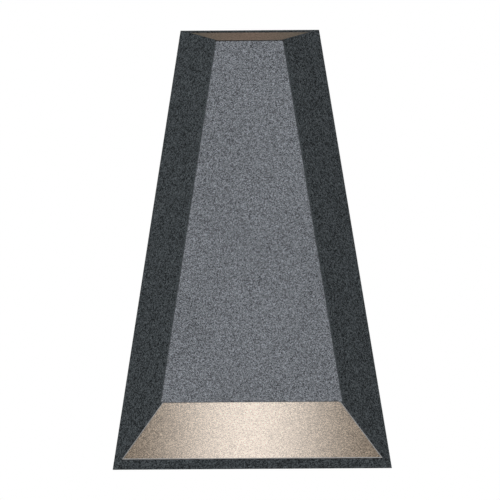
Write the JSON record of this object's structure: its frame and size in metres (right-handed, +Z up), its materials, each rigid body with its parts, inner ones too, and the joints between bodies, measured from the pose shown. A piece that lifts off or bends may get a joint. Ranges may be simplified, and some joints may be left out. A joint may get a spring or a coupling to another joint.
{
  "type": "outdoor wall light",
  "caption": "Outdoor wall light: a truncated-pyramid housing with sloped diffusers that light the wall above and below, pushed over a screwed wall plate with driver and terminals.",
  "frame": {"origin": "centre of the wall screw pattern, on the wall plane", "axes": "+Z up the wall, +Y into the wall so the front faces -Y, +X to the right seen from the front"},
  "size_m": [0.1594, 0.07, 0.2594],
  "materials": {
    "anthracite_paint": "matte",
    "grey_paint": "matte",
    "lower_diffuser": "satin",
    "upper_diffuser": "satin",
    "lower_seal": "matte",
    "upper_seal": "matte",
    "rim_seal": "matte",
    "wall_foam": "matte",
    "black_rubber": "matte",
    "cast_aluminium": "matte",
    "sheet_aluminium": "satin",
    "terminal_plastic": "matte",
    "driver_plastic": "matte",
    "driver_lid": "satin",
    "socket_plastic": "matte",
    "screw_brass": "satin",
    "tinned_copper": "satin",
    "screw_steel": "satin",
    "black_steel": "matte",
    "brown_insulation": "satin",
    "blue_insulation": "satin",
    "earth_insulation": "satin",
    "red_insulation": "satin",
    "black_insulation": "satin",
    "thermal_pad": "matte",
    "board_white": "satin",
    "led_phosphor": "satin",
    "reflector_white": "satin"
  },
  "bodies": {
    "wall_base": {"wall_plate": "cast_aluminium", "wall_gasket": "wall_foam", "rim_seal": "rim_seal", "cable_grommet": "black_rubber", "terminal_block": "terminal_plastic", "terminal_screws": "screw_brass", "terminal_fixing_screws": "screw_steel", "earth_lug": "tinned_copper", "earth_screw": "screw_steel", "driver_case": "driver_plastic", "driver_lid": "driver_lid", "driver_screws": "screw_steel", "driver_socket": "socket_plastic", "live_lead": "brown_insulation", "neutral_lead": "blue_insulation", "earth_lead": "earth_insulation"},
    "light_head": {"housing": "anthracite_paint", "front_plate": "grey_paint", "front_plate_nuts": "screw_steel", "lower_diffuser": "lower_diffuser", "upper_diffuser": "upper_diffuser", "lower_diffuser_gasket": "lower_seal", "upper_diffuser_gasket": "upper_seal", "led_carrier": "sheet_aluminium", "lower_thermal_pad": "thermal_pad", "upper_thermal_pad": "thermal_pad", "lower_led_board": "board_white", "upper_led_board": "board_white", "lower_leds": "led_phosphor", "upper_leds": "led_phosphor", "lower_reflector": "reflector_white", "upper_reflector": "reflector_white", "board_screws": "screw_steel", "led_plug": "socket_plastic", "led_plug_pins": "screw_brass", "red_leads": "red_insulation", "black_leads": "black_insulation", "housing_screws": "black_steel"}
  },
  "joints": [
    {"name": "housing_pull", "type": "slide", "parent": "wall_base", "child": "light_head", "axis": [0, -1, 0], "range_m": [0, 0.08]}
  ]
}
